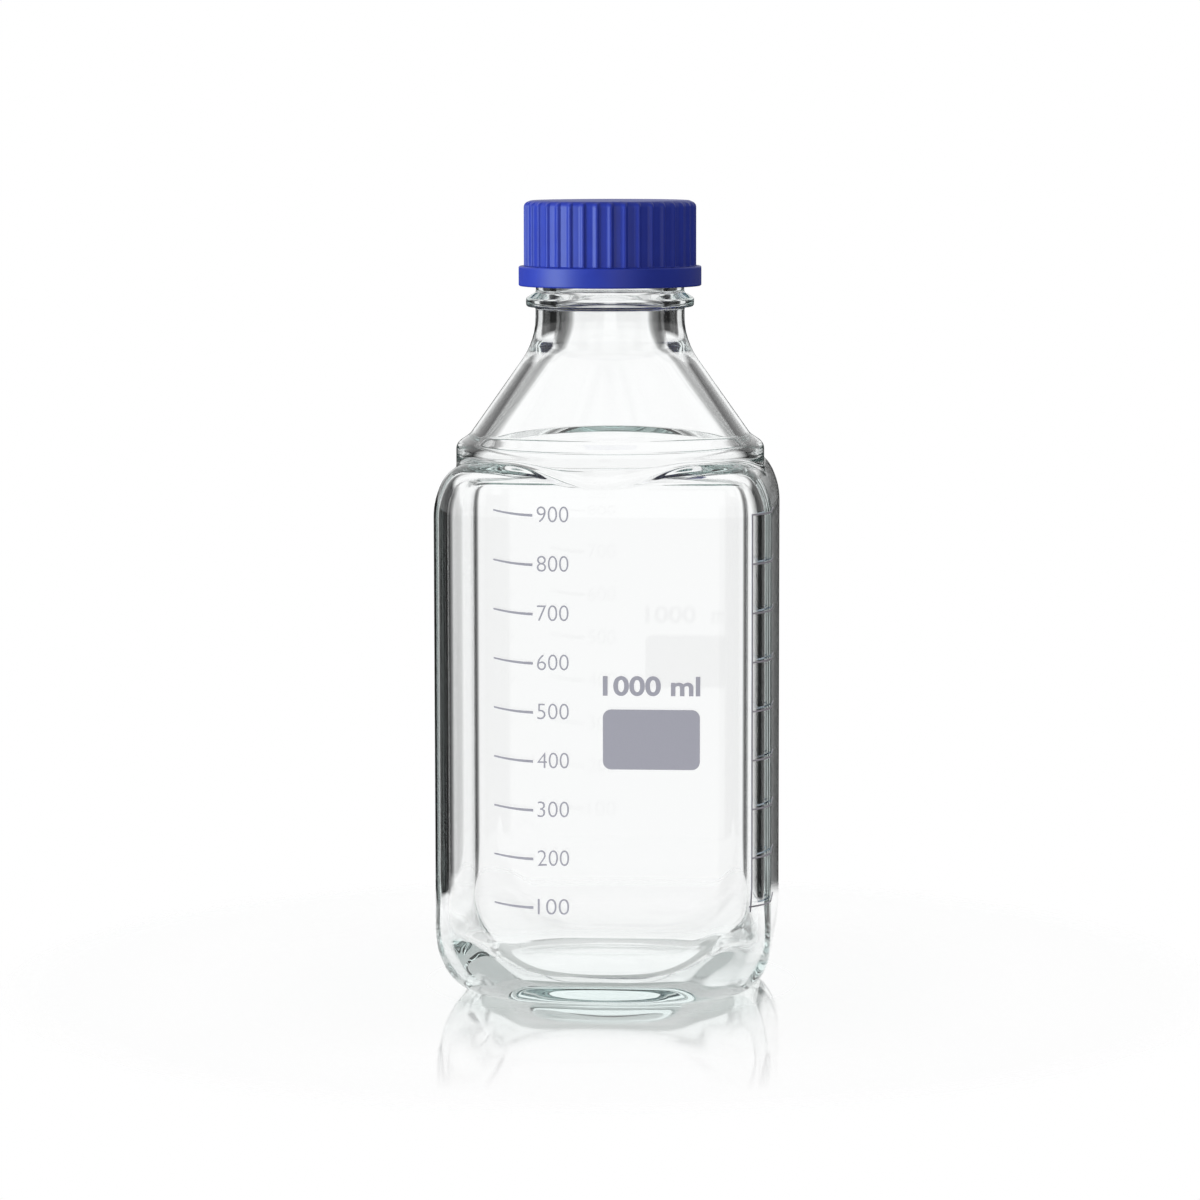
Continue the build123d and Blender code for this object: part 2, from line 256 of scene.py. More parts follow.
def closed_skin(name: str, radius: np.ndarray, height: np.ndarray, azimuth: np.ndarray) -> Piece:
    """Makes the closed mesh of a wall that runs from one point of the axis, round its section, to another.

    The surface is (r cos p, r sin p, z) for r and z given on a grid of rows along the section and columns round
    the axis. The first and last rows are poles on the axis and become one vertex each. The faces point out of the
    wall when the section starts at the pole whose face looks down.

    Args:
        name: name of the piece.
        radius: rows by columns, in millimetres.
        height: rows by columns, in millimetres.
        azimuth: angle of each column, in radians.

    Returns:
        The object, at the origin, in metres.
    """
    rows, columns = radius.shape
    grid = np.stack([radius * np.cos(azimuth), radius * np.sin(azimuth), height], axis=-1) * MM
    points = np.vstack([grid[0, :1], grid[1:-1].reshape(-1, 3), grid[-1, :1]])
    index = 1 + np.arange((rows - 2) * columns).reshape(rows - 2, columns)
    ahead = np.roll(index, -1, axis=1)
    quads = np.stack([index[:-1], ahead[:-1], ahead[1:], index[1:]], axis=-1).reshape(-1, 4)
    last = len(points) - 1
    foot = np.stack([np.zeros(columns, int), ahead[0], index[0]], axis=-1)
    top = np.stack([np.full(columns, last), index[-1], ahead[-1]], axis=-1)
    return smooth_piece(name, points, quads.tolist() + foot.tolist() + top.tolist())


def report(piece: Piece) -> None:
    """Logs a finished piece with the number of its faces."""
    log.info("%s: %d faces", piece.name, len(piece.data.polygons))


@dataclass(frozen=True)
class Thread:
    """A right-handed helical ridge with a trapezoid section, in millimetres."""

    root_radius: float
    crest_radius: float
    low: float
    turns: float
    side: ThreadSide
    pitch: float = 4.0
    root_width: float = 2.1
    crest_width: float = 0.9
    run_in: float = 0.12  # share of a turn over which each end tapers away

    def ridge(self, azimuth: np.ndarray, height: np.ndarray) -> np.ndarray:
        """Radius of the ridge's surface over a grid.

        At an azimuth p the ridge's middle lies at low + pitch (p / 2 pi + k) for whole k. The radius falls from
        crest to root as the height leaves that middle, along the trapezoid's flank, and the depth fades in and out
        at the two ends.

        Args:
            azimuth: columns, in radians from 0 to 2 pi.
            height: rows by columns, in millimetres.

        Returns:
            Rows by columns of radius: the root's radius where there is no ridge.
        """
        depth = abs(self.crest_radius - self.root_radius)
        travel = (height - self.low) / self.pitch - azimuth / (2 * math.pi)
        lap = np.round(travel)
        turn = np.clip(lap + azimuth / (2 * math.pi), 0, self.turns)
        away = np.abs(height - self.low - self.pitch * (lap + azimuth / (2 * math.pi)))
        flank = np.clip((self.root_width / 2 - away) / (self.root_width / 2 - self.crest_width / 2), 0, 1)
        inside = (lap + azimuth / (2 * math.pi) >= 0) & (lap + azimuth / (2 * math.pi) <= self.turns)
        fade = np.clip(np.minimum(turn, self.turns - turn) / self.run_in, 0, 1)
        return self.root_radius + self.side.value * depth * flank * inside * fade * (2 - fade)


# --- Finishes


@dataclass(frozen=True)
class BorosilicateGlass:
    """Blown borosilicate 3.3: smooth fire-polished skin, faint sea green where the eye looks through much of it."""

    name: str = "clear_borosilicate_glass"
    ior: float = 1.473
    tint: tuple[float, float, float, float] = (0.16, 0.66, 0.60, 1.0)
    density: float = 2.4  # per metre

    def make(self) -> Material:
        """Builds the material: a clear dielectric with absorption, which lets lamps through to what is behind."""
        material, tree, output = new_material(self.name)
        glass = add_node(
            tree,
            "BsdfPrincipled",
            {"Base Color": (1, 1, 1, 1), "Roughness": 0.0, "IOR": self.ior, "Transmission Weight": 1.0},
        )
        clear = add_node(tree, "BsdfTransparent", {"Color": (0.93, 0.96, 0.95, 1)})
        path = add_node(tree, "LightPath")
        surface = mixed_shader(tree, path.outputs["Is Shadow Ray"], glass, clear)
        volume = add_node(tree, "VolumeAbsorption", {"Color": self.tint, "Density": self.density})
        tree.links.new(surface.outputs[0], output.inputs["Surface"])
        tree.links.new(volume.outputs[0], output.inputs["Volume"])
        return material


@dataclass(frozen=True)
class MottledFinish:
    """An opaque finish of two close colours in soft patches, with a low bump."""

    name: str
    colour: str
    darker: str
    mottle: float  # millimetres across a patch of colour
    mottle_detail: float
    texture: float  # millimetres from one dimple to the next
    texture_detail: float
    bump: float
    roughness: float
    ior: float
    specular: float

    def noise(self, tree: Tree, size: float, detail: float) -> Socket:
        """Adds a noise of a given size in the object's own space, and returns its output."""
        place = add_node(tree, "TexCoord").outputs["Object"]
        return add_node(
            tree, "TexNoise", {"Vector": place, "Scale": 1 / (size * MM), "Detail": detail}
        ).outputs["Fac"]

    def make(self) -> Material:
        """Builds the material: the two colours mixed by one noise, and a bump of another."""
        material, tree, output = new_material(self.name)
        patches = self.noise(tree, self.mottle, self.mottle_detail)
        dimples = self.noise(tree, self.texture, self.texture_detail)
        colour = mixed_colour(tree, patches, linear_colour(self.colour), linear_colour(self.darker))
        bump = add_node(tree, "Bump", {"Height": dimples, "Strength": self.bump, "Distance": 0.02 * MM})
        paint = add_node(
            tree,
            "BsdfPrincipled",
            {
                "Base Color": colour,
                "Roughness": self.roughness,
                "IOR": self.ior,
                "Specular IOR Level": self.specular,
                "Normal": bump.outputs[0],
            },
        )
        tree.links.new(paint.outputs[0], output.inputs["Surface"])
        return material


FIRED_ENAMEL = MottledFinish(
    name="fired_grey_enamel",  # screen-printed: a soft grey with a violet cast, slightly matt and a little grainy
    colour="aea9b2",
    darker="a6a1ab",
    mottle=0.35,  # grains of frit, drawn coarse enough to show
    mottle_detail=2.0,
    texture=0.35,
    texture_detail=2.0,
    bump=0.15,
    roughness=0.5,
    ior=1.5,
    specular=0.5,
)

POLYPROPYLENE = MottledFinish(
    name="blue_polypropylene",  # injection-moulded: waxy semi-gloss, with a faint flow mottle
    colour="1c34a6",
    darker="192b92",
    mottle=6.0,
    mottle_detail=3.0,
    texture=0.5,  # dimples of the spark-eroded mould
    texture_detail=1.0,
    bump=0.12,
    roughness=0.48,
    ior=1.49,
    specular=0.36,
)


# --- The glass


@dataclass(frozen=True)
class VesselSkin:
    """One skin of the square vessel, outer or inner, in millimetres: base, heel, wall, shoulder, ledge and neck."""

    half_side: float
    corner_radius: float
    bottom: float
    heel_inset: float
    heel_rise: float
    corner_foot: float  # radius of the circle that the corners draw in to at the base
    shoulder: float
    brow: float
    neck: np.ndarray  # (radius, height) rows from the top of the collar's upright band to the mouth
    ease_in: float  # how far before the crease at the collar's foot its rounding starts
    ease_up: float  # and how far above the crease it ends
    upright: float = 137.5
    brow_angle: float = 28.4
    dome_radius: float = 30.0
    dome_rise: float = 1.6
    draw_height: float = 42.0  # where the corners begin to draw in
    blend: float = 3.0  # width of the soft bend where the drawn corners meet the walls

    def wall_radius(self, azimuth: np.ndarray, inset: np.ndarray | float) -> np.ndarray:
        """Polar radius of the rounded square, moved inwards by an inset.

        On a flat side the radius is the half side over the cosine of the angle from that side's middle. Past the
        point where the corner starts it is where the ray meets the corner's circle: the projection of the
        circle's centre on the ray, plus the half chord.

        Args:
            azimuth: columns, in radians.
            inset: how far the outline is moved in, in millimetres.

        Returns:
            The radius for each azimuth and inset.
        """
        fold = np.abs((azimuth + math.pi / 4) % (math.pi / 2) - math.pi / 4)
        centre = self.half_side - self.corner_radius
        half, round_radius = self.half_side - inset, self.corner_radius - inset
        along = centre * (np.cos(fold) + np.sin(fold))
        across = centre * (np.cos(fold) - np.sin(fold))
        corner = along + np.sqrt(np.maximum(round_radius**2 - across**2, 0))
        return np.where(half * np.tan(fold) <= centre, half / np.cos(fold), corner)

    def drawn_in(self, radius: np.ndarray, height: np.ndarray) -> np.ndarray:
        """Draws the corners in towards the base.

        The limit is a turned form: a quarter ellipse from the foot's circle up to a radius just past the corners.
        A wall of radius r is kept under the limit R by a soft minimum: with w = max(b - |r - R|, 0) for a blend b,
        it is min(r, R) - w^2 / (4 b).

        Args:
            radius: radius of the rounded square on a grid.
            height: height on the same grid, in millimetres.

        Returns:
            The radius with the corners drawn in.
        """
        widest = (self.half_side - self.corner_radius) * math.sqrt(2) + self.corner_radius + self.blend
        down = np.clip((self.draw_height - height) / (self.draw_height - self.bottom), 0, 1)
        limit = self.corner_foot + (widest - self.corner_foot) * np.sqrt(1 - down**2)
        overlap = np.maximum(self.blend - np.abs(radius - limit), 0)
        return np.minimum(radius, limit) - overlap**2 / (4 * self.blend)

    def shoulder_line(self) -> tuple[np.ndarray, np.ndarray]:
        """Inset and height along the shoulder: a wide arc, then the tighter brow, then the level ledge."""
        lean = math.radians(self.brow_angle)
        wide = np.linspace(0, lean, 60, endpoint=False)
        tight = np.linspace(lean, math.pi / 2, 80, endpoint=False)
        brow_inset = self.shoulder - (self.shoulder - self.brow) * math.cos(lean)
        brow_height = self.upright + (self.shoulder - self.brow) * math.sin(lean)
        ledge = np.linspace(brow_inset, self.corner_radius - 0.2, 60)
        inset = [self.shoulder * (1 - np.cos(wide)), brow_inset - self.brow * np.cos(tight), ledge]
        height = [
            self.upright + self.shoulder * np.sin(wide),
            brow_height + self.brow * np.sin(tight),
            np.full(60, brow_height + self.brow),
        ]
        return np.concatenate(inset), np.concatenate(height)

    def rows(self, azimuth: np.ndarray) -> tuple[np.ndarray, np.ndarray]:
        """Radius and height of the skin on a grid, from the base's middle up to the mouth.

        The base is a shallow dome that ends level on a flat foot, the heel a quarter ellipse of insets, the wall
        upright but for its drawn corners. The shoulder runs up to where the wall's radius has shrunk to the
        collar's, which comes lower at the middle of a face than at a corner, and a quadratic curve rounds that
        crease. The neck above is turned, so its rows are the same for all columns.

        Args:
            azimuth: columns, in radians.

        Returns:
            Radius and height, each rows by columns, in millimetres.
        """
        one = np.ones_like(azimuth)
        share = np.linspace(0, 1, 14)[:, None]
        dome = self.dome_radius * share * one
        dome_height = self.bottom + self.dome_rise * (1 - share**2) ** 2 * one
        foot_edge = self.drawn_in(self.wall_radius(azimuth, self.heel_inset), self.bottom * one)
        spread = np.array([0.03, 0.3, 0.6, 0.9])[:, None]
        foot = self.dome_radius + (foot_edge - self.dome_radius) * spread
        foot_height = self.bottom * np.ones_like(foot)
        bend = np.linspace(0, math.pi / 2, 21)[:, None]
        heel_height = (self.bottom + self.heel_rise * (1 - np.cos(bend))) * one
        heel = self.drawn_in(self.wall_radius(azimuth, self.heel_inset * (1 - np.sin(bend))), heel_height)
        low = self.bottom + self.heel_rise
        lower = np.linspace(low, self.draw_height, 15)[1:]
        upper = np.linspace(self.draw_height, self.upright - 0.4, 24)[1:]
        wall_height = np.concatenate([[low + 0.4], lower, upper])[:, None] * one
        wall = self.drawn_in(self.wall_radius(azimuth, 0.0) * np.ones_like(wall_height), wall_height)

        inset, line_height = self.shoulder_line()
        line = self.wall_radius(azimuth, inset[:, None])
        line_height = line_height[:, None] * one
        steps = np.hypot(np.diff(line, axis=0), np.diff(line_height, axis=0))
        length = np.vstack([0 * one, np.cumsum(steps, axis=0)])
        collar = self.neck[0, 0]
        crossing = self.sampled(-line, length, -collar * one[None])
        target = (crossing - self.ease_in) * np.linspace(0, 1, 30)[:, None]
        shoulder = self.sampled(length, line, target)
        shoulder_height = self.sampled(length, line_height, target)
        crease_height = self.sampled(length, line_height, crossing)
        t = np.linspace(0, 1, 9)[1:, None]
        bend_radius = (1 - t) ** 2 * shoulder[-1] + (1 - (1 - t) ** 2) * collar
        band_foot = crease_height + self.ease_up
        bend_height = (1 - t) ** 2 * shoulder_height[-1] + 2 * t * (1 - t) * crease_height + t**2 * band_foot
        rise = np.array([0.3, 0.7])[:, None]
        band = collar * np.ones_like(rise) * one
        band_height = band_foot + (self.neck[0, 1] - band_foot) * rise
        neck, neck_height = (self.neck[:, i : i + 1] * one for i in (0, 1))
        radius = [dome, foot, heel, wall, shoulder, bend_radius, band, neck]
        height = [dome_height, foot_height, heel_height, wall_height]
        height += [shoulder_height, bend_height, band_height, neck_height]
        return np.vstack(radius), np.vstack(height)

    @staticmethod
    def sampled(known: np.ndarray, values: np.ndarray, target: np.ndarray) -> np.ndarray:
        """Values at targets, by straight interpolation down each column of a rising array.

        Args:
            known: rows by columns, rising down each column.
            values: the value that goes with each of them.
            target: rows by columns of places to look up.

        Returns:
            The interpolated values, in target's shape.
        """
        below = (known[None] <= target[:, None]).sum(axis=1) - 1
        below = np.clip(below, 0, known.shape[0] - 2)
        low, high = (np.take_along_axis(known, below + k, axis=0) for k in (0, 1))
        first, second = (np.take_along_axis(values, below + k, axis=0) for k in (0, 1))
        share = (target - low) / np.maximum(high - low, 1e-9)
        return first + (second - first) * share


@dataclass(frozen=True)
class GlassBottle:
    """The blown bottle in one piece: square body, cone, neck, transfer bead, thread and lip, in millimetres."""

    side: float
    mouth_height: float
    corner_radius: float = 17.0
    heel_inset: float = 11.0
    heel_rise: float = 18.0
    corner_foot: float = 40.1
    shoulder: float = 21.0
    brow: float = 10.0
    wall: float = 3.8
    inner_corner_radius: float = 12.7  # a little thicker in the corners than on the sides
    inner_heel_inset: float = 9.0
    inner_heel_rise: float = 12.0
    base_thickness: float = 6.5
    collar_radius: float = 44.1
    collar_top: float = 156.3
    cone_foot_radius: float = 40.2
    cone_slope: float = 35.3
    roll_slope: float = 56.0
    neck_radius: float = 21.3
    bore_radius: float = 15.5
    mouth_rise: float = 26.6
    bead_radius: float = 24.0
    bead_height: float = 2.5
    bead_slope_height: float = 1.7
    thread_root_radius: float = 21.2
    thread_depth: float = 1.3
    thread_start: float = 15.0
    thread_turns: float = 2.0
    lip_radius: float = 19.2
    lip_height: float = 2.8
    groove_depth: float = 0.5
    groove_height: float = 1.5
    outer_ease_in: float = 1.4  # how soft the crease at the collar's foot is, outside
    inner_ease_in: float = 2.6  # and inside
    ease_up: float = 1.2
    columns: int = 280
    finish: BorosilicateGlass = field(default_factory=BorosilicateGlass)

    @property
    def cone_foot_height(self) -> float:
        """Height where the cone starts, above the roll."""
        return self.collar_top + (self.collar_radius - self.cone_foot_radius) / math.tan(math.radians(self.roll_slope))

    def thread(self) -> Thread:
        """The thread outside the neck."""
        low = self.mouth_height - self.thread_start
        crest = self.thread_root_radius + self.thread_depth
        return Thread(self.thread_root_radius, crest, low, self.thread_turns, ThreadSide.OUTWARD)

    def outer_neck(self) -> np.ndarray:
        """Profile of the outside above the ledge, over the lip and down to the mouth's inner edge."""
        slope = math.tan(math.radians(self.cone_slope))
        neck_foot = self.cone_foot_height + (self.cone_foot_radius - self.neck_radius) / slope
        bead_bottom = self.mouth_height - self.mouth_rise
        bead_flat = bead_bottom + self.bead_height
        lip_bottom = self.mouth_height - self.lip_height
        groove_low = lip_bottom - self.groove_height
        groove_radius = self.lip_radius - self.groove_depth
        corners = [
            (self.collar_radius, self.collar_top - 3),
            (self.collar_radius, self.collar_top),
            (self.cone_foot_radius, self.cone_foot_height),
            (self.neck_radius, neck_foot),
            (self.neck_radius, bead_bottom),
            (self.bead_radius, bead_bottom),
            (self.bead_radius, bead_flat),
            (self.thread_root_radius, bead_flat + self.bead_slope_height),
            (self.thread_root_radius, groove_low - (self.thread_root_radius - groove_radius)),
            (groove_radius, groove_low),
            (groove_radius, lip_bottom - self.groove_depth),
            (self.lip_radius, lip_bottom),
            (self.lip_radius, self.mouth_height),
            (self.bore_radius, self.mouth_height),
            (self.bore_radius, self.mouth_height - 2),
        ]
        radii = [3.0, 4.0, 21.0, 0.8, 0.9, 0.9, 0.8, 0.8, 0.3, 0.3, 0.3, 1.2, 1.0]
        profile = rounded_line(corners, radii)[2:]
        return refined(refined(profile, 205.0, 218.0, 0.34), 160.0, 190.0, 2.5)

    def inner_neck(self) -> np.ndarray:
        """Profile of the inside above the ledge, up to just under the mouth."""
        slope = math.tan(math.radians(self.cone_slope))
        inset = self.wall / math.cos(math.radians(self.cone_slope))
        collar = self.collar_radius - self.wall
        cone_corner = self.cone_foot_height + (self.cone_foot_radius - inset - collar) / slope
        bore_corner = self.cone_foot_height + (self.cone_foot_radius - inset - self.bore_radius) / slope
        corners = [
            (collar, cone_corner - 2.0),
            (collar, cone_corner),
            (self.bore_radius, bore_corner),
            (self.bore_radius, self.mouth_height - 2),
        ]
        return refined(rounded_line(corners, [6.0, 15.0], arc_step=3.0)[2:], 155.0, 219.0, 3.0)

    def build(self) -> Piece:
        """Builds the glass as one closed skin: up the outside, over the lip, and down the inside.

        The columns are closer together at the corners: for evenly spaced t their angle is p = t + sin(4 t) / 8, so
        their spacing is 1 + cos(4 t) / 2 of the mean.

        Returns:
            The dressed glass, riding on the glass body.
        """
        t = np.arange(self.columns) * 2 * math.pi / self.columns
        azimuth = t + np.sin(4 * t) / 8
        outer = VesselSkin(
            self.side / 2,
            self.corner_radius,
            0.0,
            self.heel_inset,
            self.heel_rise,
            self.corner_foot,
            self.shoulder,
            self.brow,
            self.outer_neck(),
            self.outer_ease_in,
            self.ease_up,
        )
        inner = VesselSkin(
            self.side / 2 - self.wall,
            self.inner_corner_radius,
            self.base_thickness,
            self.inner_heel_inset,
            self.inner_heel_rise,
            self.corner_foot - self.wall,
            self.shoulder - self.wall,
            self.brow - self.wall,
            self.inner_neck(),
            self.inner_ease_in,
            self.ease_up,
        )
        radius, height = outer.rows(azimuth)
        above = (height > outer.neck[0, 1]) & (radius > self.bore_radius + 1)
        radius = np.where(above, np.maximum(radius, self.thread().ridge(azimuth, height)), radius)
        within, depth = inner.rows(azimuth)
        radius = np.vstack([radius, within[::-1]])
        height = np.vstack([height, depth[::-1]])
        piece = closed_skin("media_bottle_glass", radius, height, azimuth)
        piece.data.materials.append(self.finish.make())
        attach(piece, "glass")
        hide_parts("bottle")
        report(piece)
        return piece


# --- Cap and pouring ring


@dataclass(frozen=True)
class PouringRing:
    """The ring snapped over the lip, turned round its section, in millimetres."""

    mouth_height: float
    top: float
    lip_radius: float = 19.2
    skirt_radius: float = 20.8
    drip_radius: float = 21.2
    drip_height: float = 1.0
    bore_radius: float = 15.0
    clearance: float = 0.1
    snap_radius: float = 18.8
    snap_low: float = 4.2  # below the mouth
    snap_high: float = 3.4
    columns: int = 120

    def build(self, finish: Material) -> Piece:
        """Builds the ring as a closed turned skin with a thin edge to pour from.

        The section is a closed line, so the grid joins its last row to its first instead of ending in poles.

        Args:
            finish: the moulded plastic that the cap has too.

        Returns:
            The dressed ring, riding on the ring body.
        """
        seat = self.mouth_height + self.clearance
        inside = self.lip_radius + self.clearance
        low, high = self.mouth_height - self.snap_low, self.mouth_height - self.snap_high
        start = ((self.bore_radius + self.drip_radius) / 2, self.top)
        corners = [
            start,
            (self.bore_radius, self.top),
            (self.bore_radius, seat),
            (inside, seat),
            (inside, high + 0.5),
            (self.snap_radius, high),
            (self.snap_radius, low),
            (self.skirt_radius, low),
            (self.skirt_radius, self.top - self.drip_height),
            (self.drip_radius, self.top),
            start,
        ]
        profile = rounded_line(corners, [0.4, 0.15, 0.1, 0.1, 0.1, 0.1, 0.2, 0.3, 0.08], arc_step=18, ease=0.1)[:-1]
        azimuth = np.arange(self.columns) * 2 * math.pi / self.columns
        grid = np.stack(
            [
                profile[:, :1] * np.cos(azimuth),
                profile[:, :1] * np.sin(azimuth),
                profile[:, 1:] * np.ones_like(azimuth),
            ],
            axis=-1,
        )
        index = np.arange(grid.shape[0] * grid.shape[1]).reshape(grid.shape[:2])
        ahead = np.roll(index, -1, axis=1)
        quads = np.stack([index, ahead, np.roll(ahead, -1, axis=0), np.roll(index, -1, axis=0)], axis=-1)
        faces = quads.reshape(-1, 4)[:, ::-1].tolist()
        piece = smooth_piece("pouring_ring_skin", grid.reshape(-1, 3) * MM, faces)
        piece.data.materials.append(finish)
        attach(piece, "ring")
        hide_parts("pouring_ring")
        report(piece)
        return piece


@dataclass(frozen=True)
class ScrewCap:
    """The cap: plain flange, ribbed drum, flat top, and inside it the thread and the lip seal, in millimetres."""

    bottom: float
    top: float
    flange_radius: float
    flange_height: float = 5.7
    drum_radius: float = 24.0
    top_round: float = 1.7
    top_thickness: float = 2.1
    rib_count: int = 38
    rib_height: float = 0.65
    rib_width: float = 1.5
    rib_end_drop: float = 1.3
    rib_end_gap: float = 0.3
    bore_radius: float = 22.95
    upper_bore_radius: float = 21.6
    thread_crest_radius: float = 21.65
    thread_low: float = 205.32
    thread_turns: float = 1.6
    thread_end: float = 216.41
    seal_radius: float = 14.7
    seal_thickness: float = 1.4
    seal_length: float = 2.8
    columns_per_rib: int = 12

    def inside_profile(self) -> Profile:
        """Corners of the inside, from the middle of the ceiling, round the lip seal, down to the mouth's chamfer."""
        ceiling = self.top - self.top_thickness
        seal_end = ceiling - self.seal_length
        seal_inside = self.seal_radius - self.seal_thickness
        return [
            (0.0, ceiling),
            (seal_inside, ceiling),
            (seal_inside, seal_end),
            (self.seal_radius, seal_end),
            (self.seal_radius, ceiling),
            (self.upper_bore_radius, ceiling),
            (self.upper_bore_radius, self.thread_end + 1.4),
            (self.bore_radius, self.thread_end),
            (self.bore_radius, self.bottom + 0.5),
            (self.bore_radius + 0.5, self.bottom),
        ]

    def outside_profile(self) -> Profile:
        """Corners of the outside, from the flange's lower edge up to the middle of the top."""
        ledge = self.bottom + self.flange_height
        return [
            (self.flange_radius, self.bottom),
            (self.flange_radius, ledge),
            (self.drum_radius, ledge),
            (self.drum_radius, self.top),
            (0.0, self.top),
        ]

    def ribs(self, azimuth: np.ndarray, height: np.ndarray) -> np.ndarray:
        """How far the gripping ribs stand proud of the drum over a grid.

        Across, a rib is the arc of a circle through its two feet and its crest, so the height is the circle's
        height over that chord. Up, it bends in with the rounded rim, along a quarter ellipse.

        Args:
            azimuth: columns, in radians.
            height: rows by columns, in millimetres.

        Returns:
            Rows by columns of height over the drum, in millimetres.
        """
        spacing = 2 * math.pi / self.rib_count
        offset = ((azimuth + spacing / 2) % spacing - spacing / 2) * self.drum_radius
        half = self.rib_width / 2
        arc_radius = (half**2 + self.rib_height**2) / (2 * self.rib_height)
        across = np.sqrt(np.maximum(arc_radius**2 - offset**2, 0)) - (arc_radius - self.rib_height)
        foot = self.top - self.rib_end_drop - self.rib_height
        into = np.clip((height - foot) / (self.top - self.rib_end_gap - foot), 0, 1)
        return np.maximum(across, 0) * np.sqrt(1 - into**2)

    def thread(self) -> Thread:
        """The thread inside the cap, which hangs under the bottle's thread by the load clearance."""
        return Thread(
            self.bore_radius, self.thread_crest_radius, self.thread_low, self.thread_turns, ThreadSide.INWARD
        )

    def build(self, finish: Material) -> Piece:
        """Builds the cap as one closed skin, from the ceiling's middle round the mouth to the top's middle.

        Args:
            finish: the moulded plastic.

        Returns:
            The dressed cap, riding on the cap body.
        """
        spacing = 2 * math.pi / self.rib_count
        edge = self.rib_width / 2 / self.drum_radius
        rib = np.linspace(-edge, edge, self.columns_per_rib - 3)
        valley = np.linspace(edge, spacing - edge, 6)[1:-1]
        one_rib = np.concatenate([rib, valley])
        azimuth = (np.arange(self.rib_count)[:, None] * spacing + one_rib + edge).ravel()
        radii = [0.3, 0.2, 0.2, 0.3, 0.4, 0.3, 0.3, 0.2, 0.15, 0.45, 0.5, 0.35, self.top_round]
        profile = rounded_line(self.inside_profile() + self.outside_profile(), radii, arc_step=12)
        profile = refined(profile, self.bottom + 0.6, self.thread_end, 0.5)
        profile = refined(profile, self.top - 3.2, self.top - 0.6, 0.14)
        radius, height = (profile[:, i : i + 1] * np.ones_like(azimuth) for i in (0, 1))
        edge = int(np.argmax(profile[:, 0] > self.bore_radius + 0.8))
        within = np.minimum(radius[:edge], self.thread().ridge(azimuth, height[:edge]))
        bore = (radius[:edge] > self.bore_radius - 0.01) & (height[:edge] > self.bottom + 0.6)
        radius[:edge] = np.where(bore, within, radius[:edge])
        on_drum = (radius >= self.drum_radius - self.top_round) & (
            height > self.bottom + self.flange_height + 0.1
        )
        on_drum[:edge] = False
        radius += self.ribs(azimuth, height) * on_drum
        piece = closed_skin("screw_cap_skin", radius, height, azimuth)
        piece.data.materials.append(finish)
        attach(piece, "cap")
        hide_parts("screw_cap")
        report(piece)
        return piece


# --- Print


@dataclass(frozen=True)
class EnamelPrint:
    """The fired print: the scale's lines and field are the frame's own piece, and the characters are added here."""

    face: float  # distance of the printed face from the axis, in millimetres
    thickness: float = 0.15
    tick_count: int = 9
    tick_spacing: float = 13.75
    first_height: float = 29.4
    numeral_height: float = 4.4
    numeral_right: float = -8.2
    numeral_width: float = 8.8
    numeral_lift: float = 0.3  # how far a numeral's middle lies above its line
    volume_left: float = 1.3
    volume_width: float = 27.1
    volume_middle: float = 92.0
    volume_height: float = 5.6

    def characters(
        self, name: str, words: str, letters: Letters, tall: float, left: float, middle: float, width: float
    ) -> Piece:
        """Makes one printed line of characters on the front face.

        The line is set as flat text with a thin extrusion and made a mesh. It is then scaled to its height and
        width, and each point (u, v, w) of the flat text goes to (left + u, -(face + w), middle + v).

        Args:
            name: name of the piece.
            words: the characters.
            letters: their weight.
            tall: height of a numeral, in millimetres.
            left: left end on the face, in millimetres.
            middle: height of the line's middle, in millimetres.
            width: length of the line, in millimetres.

        Returns:
            The line as a mesh, at the origin; build attaches it to the glass.
        """
        text = bpy.data.curves.new(name, "FONT")
        text.body = words
        text.extrude = 0.5
        text.offset = letters.value
        text.resolution_u = 6
        holder = bpy.data.objects.new(name + "_flat", text)
        bpy.context.scene.collection.objects.link(holder)
        bpy.context.view_layer.update()
        mesh = bpy.data.meshes.new_from_object(holder.evaluated_get(bpy.context.evaluated_depsgraph_get()))
        bpy.data.objects.remove(holder)
        points = np.empty(len(mesh.vertices) * 3, np.float32)
        mesh.vertices.foreach_get("co", points)
        flat = points.reshape(-1, 3)
        low, high = flat.min(axis=0), flat.max(axis=0)
        unit = (flat - low) / (high - low)
        placed = np.stack(
            [
                left + unit[:, 0] * width,
                -(self.face + unit[:, 2] * self.thickness),
                middle + (unit[:, 1] - 0.5) * tall,
            ],
            axis=1,
        )
        mesh.vertices.foreach_set("co", (placed * MM).astype(np.float32).ravel())
        mesh.name = name
        mesh.update()
        return add_piece(name, mesh)

    def build(self) -> list[Piece]:
        """Builds the numerals and the volume, and gives the frame's print the same enamel.

        Returns:
            The added pieces, riding on the glass body.
        """
        enamel = FIRED_ENAMEL.make()
        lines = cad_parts["enamel_print"]
        lines.data.materials.clear()
        lines.data.materials.append(enamel)
        left, wide = self.numeral_right - self.numeral_width, self.numeral_width
        pieces = []
        for n in range(self.tick_count):
            words = str(100 * (n + 1))
            middle = self.first_height + self.tick_spacing * n + self.numeral_lift
            name = f"numeral_{words}"
            pieces.append(self.characters(name, words, Letters.LIGHT, self.numeral_height, left, middle, wide))
        left, middle, wide = self.volume_left, self.volume_middle, self.volume_width
        pieces.append(
            self.characters("volume_mark", "1000 ml", Letters.BOLD, self.volume_height, left, middle, wide)
        )
        for piece in pieces:
            piece.data.materials.clear()
            piece.data.materials.append(enamel)
            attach(piece, "glass")
            report(piece)
        return pieces


# --- Studio


